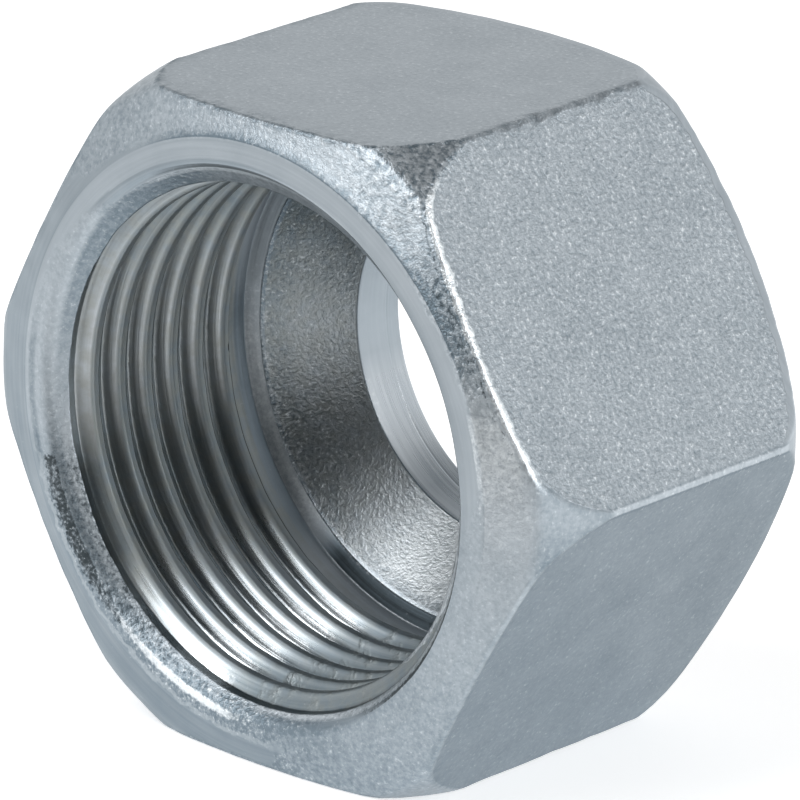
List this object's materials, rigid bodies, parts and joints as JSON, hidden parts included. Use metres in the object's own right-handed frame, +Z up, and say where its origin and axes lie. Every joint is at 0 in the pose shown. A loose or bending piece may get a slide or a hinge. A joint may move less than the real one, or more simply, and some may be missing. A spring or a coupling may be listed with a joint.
{
  "type": "union nut",
  "caption": "Hexagonal union nut with a threaded mouth, a relief groove, a conical seat for a cutting ring and a plain tube bore, with chamfered ends and zinc-plated finish.",
  "frame": {"origin": "on the floor under the middle of the nut, which lies on one of its six flats", "axes": "+Y along the bore towards the tube end, so the threaded mouth faces -Y; +Z up through the uppermost flat; X across the two side corners"},
  "size_m": [0.031, 0.017, 0.027],
  "materials": {
    "zinc_plated_steel": "satin bright zinc plating over forged and turned steel"
  },
  "bodies": {
    "root": {"union_nut": "zinc_plated_steel"}
  },
  "joints": []
}
